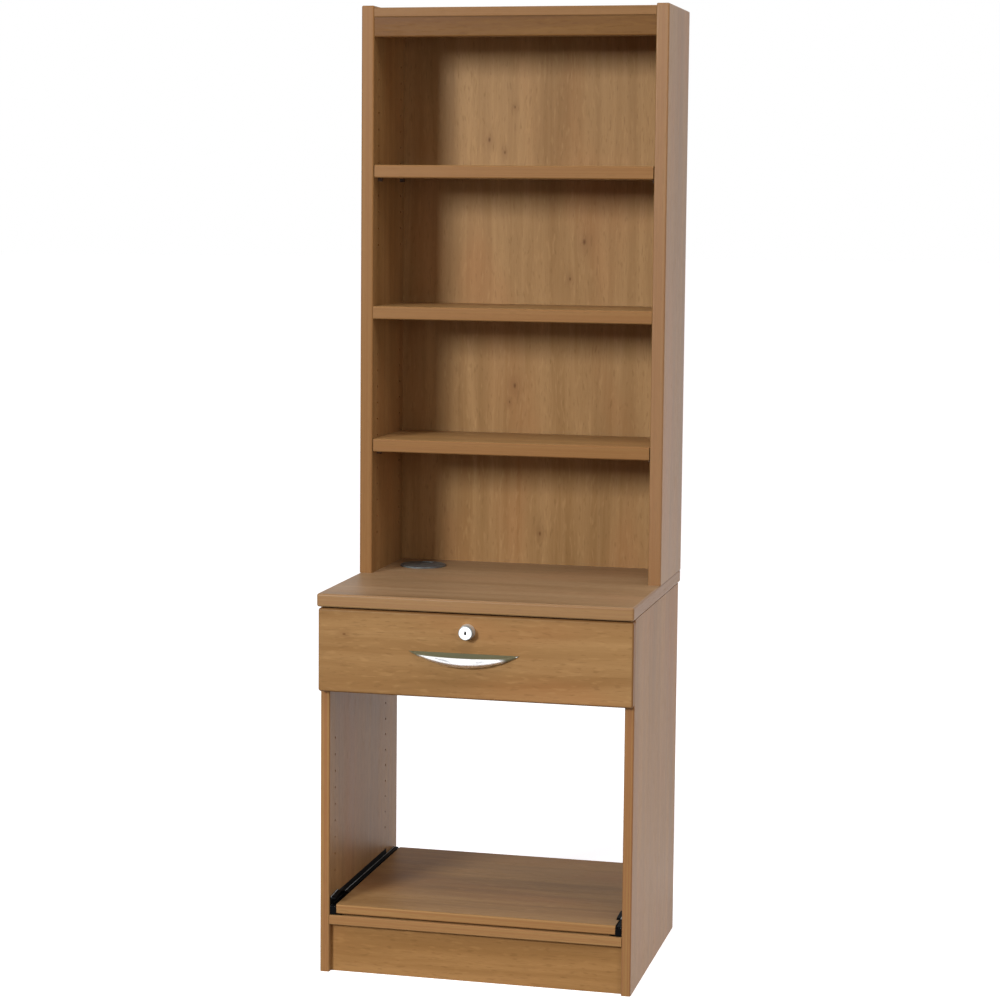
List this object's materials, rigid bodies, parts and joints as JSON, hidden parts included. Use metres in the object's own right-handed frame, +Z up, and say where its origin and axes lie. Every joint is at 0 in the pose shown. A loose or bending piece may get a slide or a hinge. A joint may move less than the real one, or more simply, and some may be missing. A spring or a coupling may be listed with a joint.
{
  "type": "drawer cabinet with overshelf hutch",
  "caption": "Oak-look desk-height drawer cabinet with a lockable drawer, an open bay with a pull-out shelf, and a tall open shelf hutch on its desktop.",
  "frame": {"origin": "middle of the overall width and depth, handle and rear plates included, on the floor", "axes": "+X to the right seen from the front, front faces -Y, +Z up"},
  "size_m": [0.6, 0.537, 1.83],
  "materials": {
    "oak_board": "satin oak-look melamine board",
    "drawer_board": "satin oak-look drawer board",
    "dowel_beech": "raw turned wood",
    "black_runner_steel": "black epoxy coat",
    "roller_nylon": "natural nylon",
    "zinc_plated_steel": "zinc plated",
    "nickel": "bright nickel",
    "handle_silver": "polished silver",
    "grommet_plastic": "moulded grey"
  },
  "bodies": {
    "cabinet": {"base_left_side": "oak_board", "base_right_side": "oak_board", "desktop": "oak_board", "base_board": "oak_board", "plinth": "oak_board", "rear_rail": "oak_board", "hutch_left_side": "oak_board", "hutch_right_side": "oak_board", "hutch_top": "oak_board", "hutch_pelmet": "oak_board", "hutch_back": "oak_board", "hutch_fixed_shelf": "oak_board", "hutch_fixing_plates": "zinc_plated_steel", "hutch_plate_screws": "zinc_plated_steel", "shelf_pegs": "zinc_plated_steel", "cam_discs": "zinc_plated_steel", "cam_bolts": "zinc_plated_steel", "wooden_dowels": "dowel_beech", "grommet_liner": "grommet_plastic", "lock_strike": "zinc_plated_steel", "lock_strike_screws": "zinc_plated_steel", "shelf_channel_left": "black_runner_steel", "shelf_channel_right": "black_runner_steel", "drawer_channel_left": "black_runner_steel", "drawer_channel_right": "black_runner_steel", "channel_axles": "zinc_plated_steel", "channel_screws": "zinc_plated_steel"},
    "drawer": {"drawer_front": "oak_board", "drawer_left_side": "drawer_board", "drawer_right_side": "drawer_board", "drawer_back": "drawer_board", "drawer_bottom": "drawer_board", "drawer_dowels": "dowel_beech", "drawer_handle": "handle_silver", "handle_screws": "zinc_plated_steel", "lock_housing": "nickel", "lock_nut": "zinc_plated_steel", "drawer_rail_left": "black_runner_steel", "drawer_rail_right": "black_runner_steel", "drawer_rail_axles": "zinc_plated_steel", "drawer_rail_screws": "zinc_plated_steel"},
    "lock_barrel": {"lock_plug": "nickel", "lock_cam": "zinc_plated_steel", "lock_cam_screw": "zinc_plated_steel"},
    "pullout": {"pullout_shelf": "oak_board", "shelf_rail_left": "black_runner_steel", "shelf_rail_right": "black_runner_steel", "shelf_rail_axles": "zinc_plated_steel", "shelf_rail_screws": "zinc_plated_steel"},
    "drawer_channel_wheels": {"drawer_channel_rollers": "roller_nylon"},
    "drawer_rail_wheels": {"drawer_rail_rollers": "roller_nylon"},
    "pullout_channel_wheels": {"shelf_channel_rollers": "roller_nylon"},
    "pullout_rail_wheels": {"shelf_rail_rollers": "roller_nylon"},
    "upper_shelf": {"hutch_upper_shelf": "oak_board"},
    "lower_shelf": {"hutch_lower_shelf": "oak_board"},
    "cable_cap": {"grommet_cap": "grommet_plastic"}
  },
  "joints": [
    {"name": "drawer_slide", "type": "slide", "parent": "cabinet", "child": "drawer", "axis": [0, -1, 0], "range_m": [0, 0.26]},
    {"name": "pullout_shelf_slide", "type": "slide", "parent": "cabinet", "child": "pullout", "axis": [0, -1, 0], "range_m": [0, 0.34]},
    {"name": "lock_turn", "type": "hinge", "parent": "drawer", "child": "lock_barrel", "pos_m": [-0.0115, -0.2415, 0.6685], "axis": [0, -1, 0], "range_deg": [0, 90]},
    {"name": "drawer_channel_wheel_spin", "type": "hinge", "parent": "cabinet", "child": "drawer_channel_wheels", "pos_m": [0, -0.2049, 0.567], "axis": [1, 0, 0], "range_deg": [0, 2000]},
    {"name": "drawer_rail_wheel_spin", "type": "hinge", "parent": "drawer", "child": "drawer_rail_wheels", "pos_m": [0, 0.1145, 0.567], "axis": [1, 0, 0], "range_deg": [0, 2000]},
    {"name": "pullout_channel_wheel_spin", "type": "hinge", "parent": "cabinet", "child": "pullout_channel_wheels", "pos_m": [0, -0.2049, 0.1195], "axis": [1, 0, 0], "range_deg": [0, 2610]},
    {"name": "pullout_rail_wheel_spin", "type": "hinge", "parent": "pullout", "child": "pullout_rail_wheels", "pos_m": [0, 0.2185, 0.1195], "axis": [1, 0, 0], "range_deg": [0, 2610]},
    {"name": "upper_shelf_slide", "type": "slide", "parent": "cabinet", "child": "upper_shelf", "axis": [0, -1, 0], "range_m": [0, 0.2]},
    {"name": "lower_shelf_slide", "type": "slide", "parent": "cabinet", "child": "lower_shelf", "axis": [0, -1, 0], "range_m": [0, 0.2]},
    {"name": "grommet_cap_turn", "type": "hinge", "parent": "cabinet", "child": "cable_cap", "pos_m": [-0.205, 0.1645, 0.728], "axis": [0, 0, 1], "continuous": true}
  ],
  "couplings": [
    {"joint": "drawer_channel_wheel_spin", "follows": "drawer_slide", "rad_per_m": 133.33},
    {"joint": "drawer_rail_wheel_spin", "follows": "drawer_slide", "rad_per_m": 133.33},
    {"joint": "pullout_channel_wheel_spin", "follows": "pullout_shelf_slide", "rad_per_m": 133.33},
    {"joint": "pullout_rail_wheel_spin", "follows": "pullout_shelf_slide", "rad_per_m": 133.33}
  ]
}
